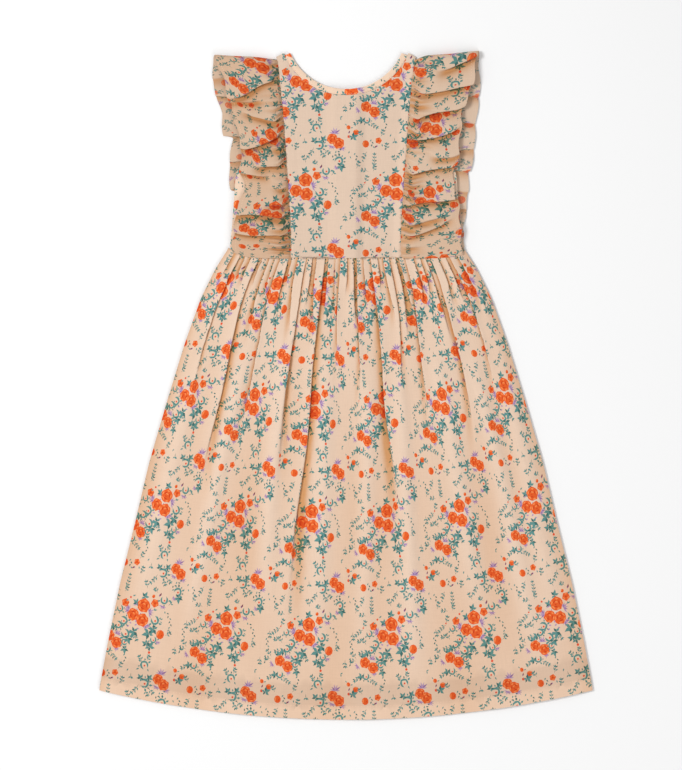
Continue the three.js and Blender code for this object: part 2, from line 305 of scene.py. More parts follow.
def florets(x, y, size, turn=0):
    """A loose lavender head of small florets."""
    shapes = []
    for i in range(10):
        angle = turn + 137.5 * i
        root = step_from(x, y, size * math.sqrt((i + 0.5) / 10.0), angle)
        shapes += leaf(*root, 0.5 * size, angle + 40, "lavender_dark" if i % 4 == 2 else "lavender", 0.6)
    return shapes


def dot(x, y, size, turn=0):
    return disc(x, y, size, "red_dot")


def dark_bud(x, y, size, turn=0):
    shapes = leaf(x, y, size, turn, "maroon", 0.4)
    return shapes + leaf(x, y, 0.5 * size, turn + 35, "lavender_dark", 0.5)


# One repeat of the print, given shape by shape. Its largest bunch of roses is at (0, 0).
REPEAT = (108.0, 131.0)
PRINT_CHART = [
    (spray, 11, 3, 6.5, 20), (spray, -14, 1, 6, 170), (florets, -5.5, -15.5, 7.5, 0),
    (spray, 10.5, -12.5, 5.5, -50), (spray, -5.5, 9, 4.5, 120), (florets, -1, 1.5, 4, 30),
    (foliage, 2.5, 20, 5, 70), (foliage, -6, 11, 4.5, 150), (rose, -8, -3.2, 7, 10),
    (rose, 3.4, 9.8, 7.8, 40), (rose, 4.6, -7.2, 7.4, 75), (small_rose, -20.2, 8.2, 4.6, 15),
    (small_rose, 17, 15, 4.8, 50), (leaf, 17, 6.5, 4.6, 20), (leaf, 17.4, 6, 3.6, 80),
    (ring, -25.5, -0.2, 3.6, 150), (ring, -18.2, -12.8, 4.6, 200), (sprig, -34, 6, 8, 60, 2),
    (sprig, -33, 5, 11, 205, 3), (dot, -33.5, 6.5, 1.1), (sprig, -30, -13.5, 7.5, 115, 2),
    (sprig, -33.5, -9, 6, 170, 2), (ring, -23.5, -19, 4, 190), (foliage, -28, -22.5, 4.8, 200),
    (sprig, -31, -21.5, 7, 185, 2), (ring, -13, -27, 4.8, 170), (foliage, -3, -22.5, 6.4, 260),
    (foliage, -9, -32, 5.6, 300), (sprig, -2, -24, 8, 290, 2), (ring, 20.6, -4.8, 4.8, 160),
    (leaf, 27, -3, 4, 30), (leaf, 27.5, -5, 3.2, -30), (foliage, 20.8, -15, 6.2, 245),
    (foliage, 15.6, -21.5, 6.6, 200), (sprig, 25.5, -18, 7, 300, 2), (bud, 30, -20, 5.5, 85),
    (sprig, 36, -20, 6.5, 25, 2), (ring, 22.5, -27.5, 3.6, 140), (spray, 28.5, -28.5, 3.4, 270),
    (foliage, 19, -36.5, 6, 60), (foliage, 14.7, -34, 4.6, 160), (dot, 20, -43, 1.7),
    (spray, -22.5, -30.5, 5, 80), (foliage, -34, -27.5, 4.2, 100), (spray, -20.5, -46, 3.6, 280),
    (rose, -32, -33.5, 6.1, 20), (rose, -21.6, -39.7, 6.3, 65), (sprig, -43, -29.5, 8.5, 120, 2),
    (sprig, -43, -31.5, 6.5, 175, 2), (spray, -41, -37, 4, 220), (ring, -12.4, -37, 3.4, 60),
    (foliage, -10.5, -44.5, 4.8, 280), (trail, -9, -50, 9, 275, 3, 20), (ring, -31, -49.5, 3.8, 120),
    (foliage, -36.5, -50, 4.6, 185), (sprig, -38, -51, 7.5, 195, 2), (sprig, -27, -51.5, 9.5, 310, 3),
    (bud, -53, -58.5, 2.6, 120), (leaf, -50.5, -59.5, 3.4, 20), (leaf, -55, -56.5, 3.2, 130),
    (dark_bud, -52.5, -66, 4, 75), (dot, -52.6, -69.6, 1.9), (bud, -44, -64.4, 3.6, 10),
    (foliage, -48, -70, 5.2, 20), (sprig, -36, -70.5, 6.5, 110, 2), (bud, -32.4, -78, 4.5, 100),
    (sprig, -30.5, -87, 8, 230, 2), (small_rose, -17, -74, 3.7, 0), (sprig, -14.5, -69.5, 7.5, 60, 2),
    (trail, -13, -78, 8, 320, 3, -30), (dark_bud, -18.5, -79.5, 4.8, 225),
    (trail, -25.5, -72.5, 10, 275, 4, 20), (spray, 38.5, -66, 6, 85), (spray, 35, -80.5, 4.2, 250),
    (spray, 47, -83, 4, 290), (rose, 35.5, -72, 6, 30), (rose, 43.2, -77.5, 6.4, 80),
    (ring, 16.5, -58.5, 4.6, 330), (sprig, 13.5, -55.5, 7, 120, 2), (sprig, 18.5, -53.5, 6, 60, 2),
    (leaf, 11, -63, 4.6, 215), (leaf, 21, -62, 4, 300), (ring, 20, -79.5, 5, 220, 6),
    (foliage, 24.5, -73, 4.4, 60), (foliage, 14.6, -74.5, 4.4, 130), (sprig, 13.5, -82, 12, 245, 3, -20),
    (sprig, 22, -86, 7, 290, 2), (sprig, 26, -84, 7, 310, 2), (trail, 36, -98, 16, 80, 6, -75),
    (ring, 43.6, -98.4, 4.6, 250, 6), (foliage, 45.8, -104.5, 5.8, 280), (leaf, 55, -90, 3.6, 70),
    (leaf, 56.5, -93, 3.4, 300), (spray, 41, -106, 3.4, 220), (sprig, -23, -107, 15, 80, 4, 15),
    (sprig, -29, -111, 7.5, 160, 2), (sprig, -24, -111, 6, 60, 2), (dot, -14.8, -115.2, 1.4),
    (leaf, -12.5, -113.5, 4.4, 35), (leaf, -17, -118.5, 4, 215), (trail, 31, 8, 21, -35, 7, -70),
    (trail, 40, -12, 5, 280, 2, 0), (ring, 28.2, 20.5, 4.4, 130, 3), (dark_bud, 21.4, 23.5, 5.5, 70),
    (bud, 13.8, 22.6, 2.2, 60), (spray, 27.5, 13.5, 4.2, 260), (sprig, 34, 15, 5, 40, 1),
    (sprig, 18.5, 27.5, 5.5, 130, 2), (sprig, -47, 2, 8, 265, 2), (trail, -50, -8, 10, 275, 4, 10),
    (sprig, -8, -86, 7.5, 75, 2), (sprig, 4, -101, 8, 105, 2), (trail, -45, -89, 11, 280, 4, 25),
    (sprig, -44, -108, 8, 60, 2), (sprig, 51, -30, 7.5, 262, 2), (leaf, 48, -45, 4, 210),
    (leaf, 46, -50, 3.6, 100), (trail, -50, -28, 9, 265, 3, 20), (leaf, -2, -66, 4, 250),
    (sprig, 2, -70, 6, 275, 1), (leaf, 8, -89, 3.8, 20), (leaf, -37, -97, 3.6, 310),
]


def print_shapes():
    shapes = []
    for make, x, y, size, *rest in PRINT_CHART:
        shapes += make(x, y, size, *rest)
    return [(COLOUR_NAMES.index(colour), points) for colour, points in shapes]


SHAPES = print_shapes()


def print_over(outline, origin, turn=0.0):
    """The shapes that touch a pattern piece, whose print has a bunch of roses at origin."""
    low, high = outline.min(axis=0), outline.max(axis=0)
    angle = math.radians(turn)
    turn_round = np.array([[math.cos(angle), math.sin(angle)], [-math.sin(angle), math.cos(angle)]])
    reach = np.abs(outline - np.array(origin)).max() * 1.5
    columns = int(reach / REPEAT[0]) + 2
    rows = int(reach / REPEAT[1]) + 2
    found = []
    for row in range(-rows, rows + 1):
        for column in range(-columns, columns + 1):
            shift = np.array([column * REPEAT[0], row * REPEAT[1]])
            for colour, points in SHAPES:
                moved = np.round((points + shift) @ turn_round + np.array(origin), 4)
                if (moved.max(axis=0) > low).all() and (moved.min(axis=0) < high).all():
                    found.append((colour, moved))
    return found


# Meshes

# Layout for baking: the height of the printed face, the scale of the other, and the gaps
FACE_UV = 0.86
UNDER_UV = 0.1
UV_GAP = 0.02
UV_MARGIN = 0.005


def painted_fold_shade(amount):
    """Painted shade down in folds and creases: colour darker and warmer, as sheer cloth also looks lying
    double.
    """
    amount = np.clip(amount, 0.0, 1.0)[:, None]
    return 1.0 - amount * np.array([0.20, 0.48, 0.72])


def signed_area(outline):
    x, y = outline[:, 0], outline[:, 1]
    return float(np.sum(x * np.roll(y, -1) - y * np.roll(x, -1))) / 2.0


def boundary_loop(triangles):
    """The outer edge of a sheet of triangles as one loop of vertices."""
    edges = np.concatenate([triangles[:, [0, 1]], triangles[:, [1, 2]], triangles[:, [2, 0]]])
    keys = set(map(tuple, edges.tolist()))
    after = {a: b for a, b in keys if (b, a) not in keys}
    start = min(after)
    loop = [start]
    while after[loop[-1]] != start:
        loop.append(after[loop[-1]])
    return np.array(loop)


def triangulate(outline, inside, shapes=(), closest=1e-4):
    """Splits a pattern piece into triangles along its print. Gives points, triangles, colours."""
    outline = np.asarray(outline, float)
    if signed_area(outline) < 0:
        outline = outline[::-1]
    coords = [Vector(p) for p in outline] + [Vector(p) for p in inside]
    faces = [list(range(len(outline)))]
    colours = [0]
    for colour, points in shapes:
        first = len(coords)
        coords += [Vector(p) for p in points]
        faces.append(list(range(first, first + len(points))))
        colours.append(colour)
    verts, _, tris, _, _, owners = delaunay_2d_cdt(coords, [], faces, 0, closest, True)
    points = np.round([(v.x, v.y) for v in verts], 7)
    kept = [(t, colours[max(o)]) for t, o in zip(tris, owners) if 0 in o]
    triangles = np.array([t for t, _ in kept])
    corner = points[triangles]
    side_a, side_b = corner[:, 1] - corner[:, 0], corner[:, 2] - corner[:, 0]
    flipped = side_a[:, 0] * side_b[:, 1] - side_a[:, 1] * side_b[:, 0] < 0
    triangles[flipped] = triangles[flipped][:, ::-1]
    used, renumbered = np.unique(triangles, return_inverse=True)
    return points[used], renumbered.reshape(-1, 3), np.array([c for _, c in kept])


def surface(place, points):
    """Positions and unit normals of a cloth's middle surface at pattern points."""
    step = 0.2
    at = place(points)
    along_u = place(points + [step, 0.0]) - at
    along_v = place(points + [0.0, step]) - at
    return at, unit_rows(np.cross(along_u, along_v))


def to_frame(points):
    return (points + [0.0, WAIST_Y / MM, 0.0]) * MM


def add_object(name, data):
    obj = bpy.data.objects.new(name, data)
    bpy.context.scene.collection.objects.link(obj)
    return obj


def mesh_object(name, verts, faces, material):
    mesh = bpy.data.meshes.new(name)
    mesh.from_pydata(np.asarray(verts, float).tolist(), [], [list(map(int, f)) for f in faces])
    mesh.materials.append(material)
    return add_object(name, mesh)


def unit_rows(vectors):
    return vectors / np.maximum(np.linalg.norm(vectors, axis=1, keepdims=True), 1e-9)


def cloth(node, outline, inside, place, shapes, coarse, tint=None):
    """A closed shell of printed cloth in place of a node. place takes pattern points to its middle
    surface. Where no coarse points are given, the print shows through on the wrong side, paler."""
    name = f"{node}_cloth"
    points, over_tris, colours = triangulate(outline, inside, shapes)
    loop = boundary_loop(over_tris)
    if coarse is None:
        under_points, under_tris = points, over_tris
        under_rows = lerp(COLOUR_ROWS[0], COLOUR_ROWS[colours], 0.8)
    else:
        under_points, under_tris, _ = triangulate(points[loop], coarse, (), 1e-9)
        under_rows = COLOUR_ROWS[np.zeros(len(under_tris), int)]
    under_loop = boundary_loop(under_tris)
    nearest = int(np.argmin(((under_points[under_loop] - points[loop[0]]) ** 2).sum(axis=1)))
    under_loop = np.roll(under_loop, -nearest)
    if len(under_loop) != len(loop):
        raise RuntimeError(f"{name}: the two faces of the cloth have different edges")
    over_at, over_normal = surface(place, points)
    under_at, under_normal = surface(place, under_points)
    verts = np.concatenate([over_at + over_normal * THIN / 2, under_at - under_normal * THIN / 2])
    count = len(points)
    low_loop = under_loop + count
    next_up, next_low = np.roll(loop, -1), np.roll(low_loop, -1)
    walls = np.concatenate([np.stack([loop, low_loop, next_up], axis=1),
                            np.stack([next_up, low_loop, next_low], axis=1)])
    tris = np.concatenate([over_tris, under_tris[:, ::-1] + count, walls])
    corner = verts[walls]
    wall_normal = unit_rows(np.cross(corner[:, 1] - corner[:, 0], corner[:, 2] - corner[:, 0]))
    corners = tris.ravel()
    corner_normal = np.concatenate([over_normal, -under_normal])[corners]
    corner_normal[-3 * len(walls):] = np.repeat(wall_normal, 3, axis=0)
    obj = mesh_object(name, to_frame(verts), tris, cloth_material)
    mesh = obj.data
    mesh.polygons.foreach_set("use_smooth", np.ones(len(tris), bool))
    mesh.normals_split_custom_set(corner_normal.tolist())
    pattern = np.concatenate([points, under_points])
    face_colour = np.concatenate([COLOUR_ROWS[colours], under_rows, COLOUR_ROWS[np.zeros(len(walls), int)]])
    colour = np.repeat(face_colour, 3, axis=0)
    if tint is not None:
        colour = colour * tint(pattern[corners])
    attribute = mesh.color_attributes.new("Print", "FLOAT_COLOR", "CORNER")
    attribute.data.foreach_set("color", np.concatenate([colour, np.ones((len(colour), 1))], axis=1).ravel())
    weave = mesh.uv_layers.new(name="Weave")
    weave.data.foreach_set("uv", (pattern[corners] * MM).ravel())
    unwrap(mesh, pattern, corners, count)
    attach(obj, "root")
    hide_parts(node)
    return obj


def unwrap(mesh, pattern, corners, count):
    """Lays the pattern out for baking, with the printed face below and the other in a band above it."""
    bake = mesh.uv_layers.new(name="OFBake")
    low, high = pattern.min(axis=0), pattern.max(axis=0)
    place_uv = (pattern - low) / (high - low).max()
    place_uv *= [1.0 - UV_GAP, FACE_UV / max(place_uv[:, 1].max(), FACE_UV)]
    place_uv[count:, 1] = place_uv[count:, 1] * UNDER_UV + (FACE_UV + UV_GAP)
    bake.data.foreach_set("uv", (place_uv[corners] + UV_MARGIN).ravel())


# Materials


def add_node(tree, kind, values=None, links=None):
    """A new shader node, with values and sources for its inputs by name or number."""
    node = tree.nodes.new(f"ShaderNode{kind}")
    set_inputs(node, values or {})
    for name, source in (links or {}).items():
        tree.links.new(source, node.inputs[name])
    return node


def set_inputs(node, values):
    for name, value in values.items():
        node.inputs[name].default_value = value


def new_material(name, values):
    material = bpy.data.materials.new(name)
    material.use_nodes = True
    shader = material.node_tree.nodes["Principled BSDF"]
    set_inputs(shader, values)
    return material, material.node_tree, shader


def thread_noise(tree, uv, close, long, detail):
    """The sum of two noises, each drawn out along one direction of the weave."""
    noises = []
    for scale in ((close, long, 1.0), (long, close, 1.0)):
        stretch = add_node(tree, "Mapping", {"Scale": scale}, {"Vector": uv.outputs["UV"]})
        noises.append(add_node(tree, "TexNoise", {"Scale": 1.0, "Detail": detail},
                               {"Vector": stretch.outputs["Vector"]}))
    total = add_node(tree, "Math", links={i: noise.outputs["Fac"] for i, noise in enumerate(noises)})
    return total.outputs[0]


def make_cloth_material():
    material, tree, shader = new_material(
        "Floral cotton", {"Roughness": 0.92, "Sheen Weight": 0.15, "Specular IOR Level": 0.2})
    printed = add_node(tree, "VertexColor")
    printed.layer_name = "Print"
    uv = add_node(tree, "UVMap")
    uv.uv_map = "Weave"
    threads = thread_noise(tree, uv, 2600.0, 90.0, 1.0)
    slubs = thread_noise(tree, uv, 1000.0, 45.0, 2.0)
    shade = add_node(tree, "MapRange", {"From Min": 0.7, "From Max": 1.3, "To Min": 0.965, "To Max": 1.03},
                     {"Value": slubs})
    grain = add_node(tree, "VectorMath")
    grain.operation = "SCALE"
    tree.links.new(printed.outputs["Color"], grain.inputs[0])
    tree.links.new(shade.outputs["Result"], grain.inputs["Scale"])
    tree.links.new(grain.outputs["Vector"], shader.inputs["Base Color"])
    bump = add_node(tree, "Bump", {"Strength": 0.25, "Distance": 0.0003}, {"Height": threads})
    tree.links.new(bump.outputs["Normal"], shader.inputs["Normal"])
    return material


def make_plain_material(name, colour, roughness, speckle):
    material, tree, shader = new_material(name, {"Roughness": roughness})
    noise = add_node(tree, "TexNoise", {"Scale": speckle})
    ramp = add_node(tree, "ValToRGB", links={"Fac": noise.outputs["Fac"]})
    ramp.color_ramp.elements[0].color = (*(colour * 0.86), 1.0)
    ramp.color_ramp.elements[1].color = (*colour, 1.0)
    tree.links.new(ramp.outputs["Color"], shader.inputs["Base Color"])
    return material


cloth_material = make_cloth_material()
button_material = make_plain_material("Button", linear(236, 222, 204), 0.3, 300.0)
thread_material = make_plain_material("Thread", linear(232, 196, 168), 0.8, 900.0)


# Skirt

# Long tucks, listed one by one: where each starts and ends across the skirt from -1 to 1, how far down it
# runs, how far the cloth laps over on each side of it, and which side lies on top
TUCKS = {
    "at": [-0.90, -0.745, -0.55, -0.345, -0.185, -0.04, 0.10, 0.215, 0.36, 0.51, 0.725, 0.88],
    "to": [-0.88, -0.72, -0.57, -0.36, -0.27, -0.06, 0.07, 0.255, 0.34, 0.45, 0.69, 0.86],
    "stop": [200, 310, 240, 280, 470, 150, 190, 340, 170, 220, 250, 190],
    "lap": [3.2, 6.6, 4.2, 4.8, 7.2, 3.4, 4.0, 6.8, 3.8, 4.6, 5.6, 3.4],
    "side": [1, 1, -1, 1, 1, -1, -1, -1, 1, -1, -1, -1],
}

# Broad soft folds of the lower skirt: where each starts and ends, the drops that it runs between, its
# height and its half width
SWELLS = {
    "at": [-0.88, -0.62, -0.40, -0.11, 0.14, 0.33, 0.56, 0.78, 0.92],
    "to": [-0.90, -0.69, -0.36, -0.13, 0.06, 0.28, 0.59, 0.80, 0.9],
    "start": [90, 80, 70, 90, 110, 90, 90, 80, 120],
    "stop": [480, 500, 440, 530, 500, 530, 470, 520, 500],
    "height": [3.0, 3.6, 3.8, 3.4, 3.2, 4.0, 3.4, 3.6, 2.6],
    "half": [13, 11, 12, 14, 12, 11, 14, 12, 12],
}


# Spacing of the short tucks, and how far along the cloth a tuck's pull reaches, at the waist and below
WAIST_TUCK_PITCH = 15.5
TUCK_REACH = (6.5, 21.0)

# The back lies flatter than the front, just clear of the floor
BACK_FULLNESS = 0.35
BACK_LIFT = 0.25


def table_rows(table):
    return [dict(zip(table, values)) for values in zip(*table.values())]


def waist_tucks():
    """Short tucks that fill the waist between the long ones."""
    ends = [-1.0] + TUCKS["at"] + [1.0]
    found = []
    for i, (low, high) in enumerate(zip(ends[:-1], ends[1:])):
        count = max(round((high - low) * SKIRT_CUT_HALF / WAIST_TUCK_PITCH) - 1, 1)
        for j in range(count):
            k = 3 * i + j
            at = lerp(low, high, (j + 1 + 0.32 * (float(uneven(k)) - 0.5)) / (count + 1))
            stop = 34 + 80 * float(uneven(k + 50)) ** 1.5
            lap = 2.6 + 1.2 * float(uneven(k + 90))
            side = 1 if uneven(k + 7) > 0.5 else -1
            found.append({"at": at, "to": at * 0.99, "stop": stop, "lap": lap, "side": side})
    return found


LONG_TUCKS = table_rows(TUCKS)
SHORT_TUCKS = waist_tucks()


def kept_above(height, least, soft):
    """Heights above a least value stay. Those below it are eased in between it and 0."""
    return np.where(height > least, height, least * np.exp(np.minimum(height - least, 0.0) / soft))


def skirt_folds(across, drop):
    """Height of the folds, the sideways pull of the tucks in millimetres, and painted shadow below each
    tuck's lap.
    """
    near_waist = fade(drop, 60, 330)
    soft = np.sin(11.0 * across + drop / 90.0) + 0.6 * np.sin(23.0 * across - drop / 70.0 + 1.0)
    height = 1.3 + 2.3 * near_waist + 0.5 * soft * smoothstep(drop, 20, 120)
    sway = 0.006 * np.sin(drop / 31.0 + 9.0 * across) * smoothstep(drop, 0, 60)
    for row in table_rows(SWELLS):
        share = np.clip((drop - row["start"]) / (row["stop"] - row["start"]), 0.0, 1.0)
        strength = smoothstep(share, 0.0, 0.2) * fade(share, 0.6, 1.0)
        away = (across - lerp(row["at"], row["to"], share)) * SKIRT_CUT_HALF / row["half"]
        height = height + row["height"] * strength * bell(away)
    pull = np.zeros_like(across)
    depth = np.zeros_like(across)
    pressed = 0.3 + 0.7 * smoothstep(drop, 1, 14)
    for row in LONG_TUCKS + SHORT_TUCKS:
        is_long = row in LONG_TUCKS
        spread = smoothstep(drop, 20, 100) if is_long else 0.0 * drop
        share = np.clip(drop / row["stop"], 0.0, 1.0)
        strength = fade(share, 0.45, 1.0)
        lap = lerp(3.0 if is_long else row["lap"], row["lap"], spread)
        half = 1.08 * lap
        reach = lerp(*TUCK_REACH, spread)
        away = (across + sway - lerp(row["at"], row["to"], share)) * SKIRT_CUT_HALF
        turn = np.tanh(1.6 * away / half)
        pull = pull - lap * strength * turn * bell(away / reach)
        rise = (0.9 + 0.34 * lap) * pressed * strength
        height = height - row["side"] * rise * turn * bell(away / (1.6 * half + 2.0))
        # Painted shadow: a band on the lower side of each tuck, just past its lap, where the lap shades the
        # cloth.
        beside = (away * row["side"] - 1.55 * half) / half
        shade = bell(beside / np.where(beside > 0, 0.65, 1.1))
        depth = np.maximum(depth, strength * (0.6 + 0.06 * lap) * shade)
    height = kept_above(height, 0.5, 0.5)
    edge = fade(np.abs(across), 0.94, 1.0)
    return height * lerp(0.15, 1.0, edge), pull * edge, depth * edge


def skirt_place(front):
    """Lays a skirt panel. The back lies right side down, so its pattern runs the other way, and it is
    pressed flat below its waist."""
    def place(points):
        across, drop = points[:, 0] / (SKIRT_CUT_HALF if front else -SKIRT_CUT_HALF), -points[:, 1]
        half = smooth_read(SKIRT_OUTLINE, "drop", drop, "half")
        folds, pull, _ = skirt_folds(across, drop)
        down = np.maximum(drop / SIDE_DROP, 0.0)
        y = lerp(waist_rise(across) - GAP, -SKIRT_DROP, down) + HEM_RISE * across ** 2 * down ** 0.7
        if front:
            x, z = half * across + pull, folds + 2.0 * WALL + GAP - THIN / 2
        else:
            upper = fade(drop, 60, 200)
            x, z = half * across + pull * upper, BACK_FULLNESS * folds * upper + THIN / 2 + BACK_LIFT
        return np.stack([x, y, z], axis=1)
    return place


def grid(low, high, steps):
    """Points inside a rectangle, each row shifted by half a step from the last."""
    columns, rows = max(int((high[0] - low[0]) / steps[0]), 2), max(int((high[1] - low[1]) / steps[1]), 1)
    found = []
    for row in range(rows):
        y = low[1] + (row + 0.5) * (high[1] - low[1]) / rows
        shift = 0.25 if row % 2 else -0.25
        xs = low[0] + (np.arange(columns) + 0.5 + shift) * (high[0] - low[0]) / columns
        found += [(x, y) for x in xs]
    return found


def straight(a, b, count):
    return [(lerp(a[0], b[0], i / count), lerp(a[1], b[1], i / count)) for i in range(count)]


def rectangle(low, high, counts):
    """Outline of a rectangular pattern piece, with a number of points for each side from the lowest."""
    corners = [low, (high[0], low[1]), high, (low[0], high[1])]
    sides = zip(corners, corners[1:] + corners[:1], counts)
    return np.array([p for start, end, count in sides for p in straight(start, end, count)])


# Bands of mesh points on the two faces of a skirt panel, close at the waist and wider below: the drops
# that each lies between, its half width, and its spacing across and down
SKIRT_BANDS = {
    "printed": {"low": [96, 300, 531], "high": [1.5, 98, 303], "half": [298, 298, 298],
                "across": [1.7, 3.4, 7.0], "down": [5.0, 8.0, 10.0]},
    "plain": {"low": [96, 300, 529], "high": [2, 99, 304], "half": [297, 297, 296],
              "across": [2.1, 4.2, 9.0], "down": [6.5, 11.0, 14.0]},
}
SKIRT_PRINT = (56.0, -41.0)
SKIRT_TONE = np.array([0.935, 0.965, 1.01])
HEM_BAND = 15.0
HEM_SHEER = 24.0


def skirt_tint(points):
    drop = -points[:, 1]
    across = points[:, 0] / SKIRT_CUT_HALF
    above = SIDE_DROP - HEM_BAND
    sheer = smoothstep(drop, above - HEM_SHEER - 1.5, above - HEM_SHEER)
    sheer = sheer * fade(drop, above - 1.0, above)
    line = bell((drop - above) / 0.9)
    band = smoothstep(drop, above, above + 1.0)
    shade = 1.0 - 0.11 * sheer - 0.16 * line + 0.04 * band - 0.05 * smoothstep(np.abs(across), 0.985, 1.0)
    # Painted shade, darker and warmer: in the shadows beside the tucks and in the low places between folds,
    # more of it near the waist.
    height, _, depth = skirt_folds(across, drop)
    painted_hollow_shade = np.exp(-height / 2.4) * (0.5 + 0.12 * fade(drop, 150, 400))
    return shade[:, None] * SKIRT_TONE * painted_fold_shade(depth + painted_hollow_shade)


def skirt_mesh(face):
    return [point for row in table_rows(SKIRT_BANDS[face]) for point in grid(
        (-row["half"], -row["low"]), (row["half"], -row["high"]), (row["across"], row["down"]))]


def make_skirt(node, front):
    outline = rectangle((-SKIRT_CUT_HALF, -SIDE_DROP), (SKIRT_CUT_HALF, 0), (150, 90, 440, 90))
    side = 1.0 if front else -1.0
    obj = cloth(node, outline, skirt_mesh("printed"), skirt_place(front), print_over(outline, SKIRT_PRINT),
                skirt_mesh("plain"), lambda points: skirt_tint(points * [side, 1.0]))


# Bodice

BODICE_PRINT = (-52.0, 83.0)
# The front panel's colour, darker than the skirt's: partly its own hue, partly painted shade for the dimmer
# light over the top of the dress.
BODICE_TONE_AND_SHADE = np.array([0.848, 0.868, 0.897])
ALLOWANCE = 10.0


def neck_arc(radius, angles):
    """Points round the neck, at angles from straight down."""
    return [(radius * math.sin(a), NECK_MIDDLE - radius * math.cos(a)) for a in angles]


def neck_reach(radius):
    """How far out from the middle an arc round the neck meets the shoulder."""
    return math.sqrt(radius ** 2 - (NECK_MIDDLE - NECK_TOP) ** 2)


def neck_and_shoulder(x, inset):
    """Height of the neck and shoulder line, short of the neck by an inset."""
    radius = NECK_RADIUS + inset
    reach = neck_reach(radius)
    if x < reach:
        return NECK_MIDDLE - math.sqrt(radius ** 2 - x ** 2)
    return NECK_TOP - SHOULDER_DROP * (x - reach) / (SEAM_AT_NECK + 2.0 - reach)


def outer_back_low(across):
    return BUTTON_ROOM * fade(across, PLACKET_EDGE, PLACKET_RAMP)


def inner_back_low(across):
    return (BUTTON_ROOM + WALL + GAP) * smoothstep(across, -PLACKET_RAMP, -PLACKET_EDGE)


def front_low(across, y):
    full = BUTTON_ROOM + WALL + GAP
    beyond = np.where(across > PLACKET_EDGE, fade(across, PLACKET_EDGE, PLACKET_RAMP), 1.0)
    placket = np.minimum(inner_back_low(across), full * beyond)
    toward_seam = smoothstep(np.abs(across), 0.8, 1.0) * STACK_AT_SEAM
    return WALL + GAP + placket + toward_seam * smoothstep(NECK_TOP - y, 0, SHOULDER_REACH)


def front_low_at(x, y):
    return front_low(x / princess(y), y)


def bodice_wrinkles(x, y):
    """Slack in the front: shallow hollows across and beside the seams."""
    drag = 0.5 * np.sin(x / 13.0 + y / 40.0) * bell((y - 40.0) / 60.0)
    pucker = 0.35 * np.sin(y / 2.9 + 1.6 * np.sin(y / 17.0)) * np.exp(-(princess(y) - np.abs(x)) / 6.0)
    return drag + pucker + 0.35 * np.sin(x / 21.0 - y / 29.0)


def front_place(points):
    x, y = points.T
    seam = princess(y)
    across = x / seam
    z = front_low(across, y) + WALL - THIN / 2 + bodice_wrinkles(x, y)
    over_waist = 2.4 * fade(y, 0.0, 16.0)
    rolled = -1.4 * fade(seam - np.abs(x), 0.0, 1.8)
    turned_under = -1.1 * fade(y, -1.0, 0.8)
    return np.stack([x, y, z + over_waist + rolled + turned_under], axis=1)


def back_place(low_at):
    def place(points):
        x, y = points.T
        return np.stack([x, y, low_at(x / princess(y)) + THIN / 2], axis=1)
    return place


def centre_outline(left, right, low, inset):
    """Outline of a middle panel between two places, from -1 to 1 across it."""
    def edge_x(side, y):
        return side * float(princess(y)) if abs(side) == 1 else side * SEAM_AT_NECK

    def side_line(side):
        top = neck_and_shoulder(abs(edge_x(side, NECK_TOP - SHOULDER_DROP)), inset)
        return [(edge_x(side, y), y) for y in np.linspace(low, top, 44)]

    ends = [edge_x(side, NECK_TOP - SHOULDER_DROP) for side in (right, left)]
    radius = NECK_RADIUS + inset
    limit = math.asin(neck_reach(radius) / radius)
    across_top = neck_arc(radius, np.linspace(limit, -limit, 57))
    across_top = [p for p in across_top if ends[1] + 0.4 < p[0] < ends[0] - 0.4]
    right_line, left_line = side_line(right), side_line(left)
    bottom = straight((left_line[0][0], low), (right_line[0][0], low), 40)
    return np.array(bottom + right_line + across_top + left_line[::-1][:-1])


def inside_outline(points, outline, margin=0.7):
    """Keeps the grid points that lie inside a pattern piece, clear of its edge."""
    points = np.asarray(points)
    start, end = outline, np.roll(outline, -1, axis=0)
    crossings = np.zeros(len(points), int)
    nearest = np.full(len(points), 1e9)
    for a, b in zip(start, end):
        spans = (a[1] > points[:, 1]) != (b[1] > points[:, 1])
        if a[1] != b[1]:
            cross_x = a[0] + (points[:, 1] - a[1]) * (b[0] - a[0]) / (b[1] - a[1])
            crossings += spans & (points[:, 0] < cross_x)
        edge = b - a
        share = np.clip(((points - a) @ edge) / max(edge @ edge, 1e-9), 0.0, 1.0)
        nearest = np.minimum(nearest, np.linalg.norm(points - a - share[:, None] * edge, axis=1))
    return [tuple(p) for p in points[(crossings % 2 == 1) & (nearest > margin)]]


def flat_piece(node, outline, place, rests_on=(), steps=(5.0, 5.0), print_at=BODICE_PRINT, turn=0.0,
               tint=None, face_down=False):
    """A piece that is laid, not gathered. Face down, its pattern runs the other way across."""
    if face_down:
        outline = (outline * [-1, 1])[::-1]
        upright = place

        def place(points):
            return upright(points * [-1, 1])
    low, high = outline.min(axis=0), outline.max(axis=0)
    dense = inside_outline(grid(low, high, steps), outline)
    coarse = inside_outline(grid(low, high, (2 * steps[0], 2 * steps[1])), outline, 1.5)
    obj = cloth(node, outline, dense, place, print_over(outline, print_at, turn), coarse, tint)
    if rests_on:
        abs(signed_area(outline)) * MM * MM
    return obj


def front_tint(points):
    """Cloth looks paler where the seam allowances and the back placket lie under it, with a painted shadow
    along the seam.
    """
    x, y = points.T
    from_seam = princess(y) - np.abs(x)
    allowance = smoothstep(ALLOWANCE - from_seam, -0.4, 0.4)
    placket = smoothstep(PLACKET_HALF - np.abs(x - PLACKET_MIDDLE), -0.5, 0.5)
    # Painted shadow: a thin dark line along the seam to the ruffle.
    line = bell(from_seam / 0.8)
    shade = 1.0 + 0.045 * allowance + 0.02 * placket - 0.18 * line
    return shade[:, None] * BODICE_TONE_AND_SHADE


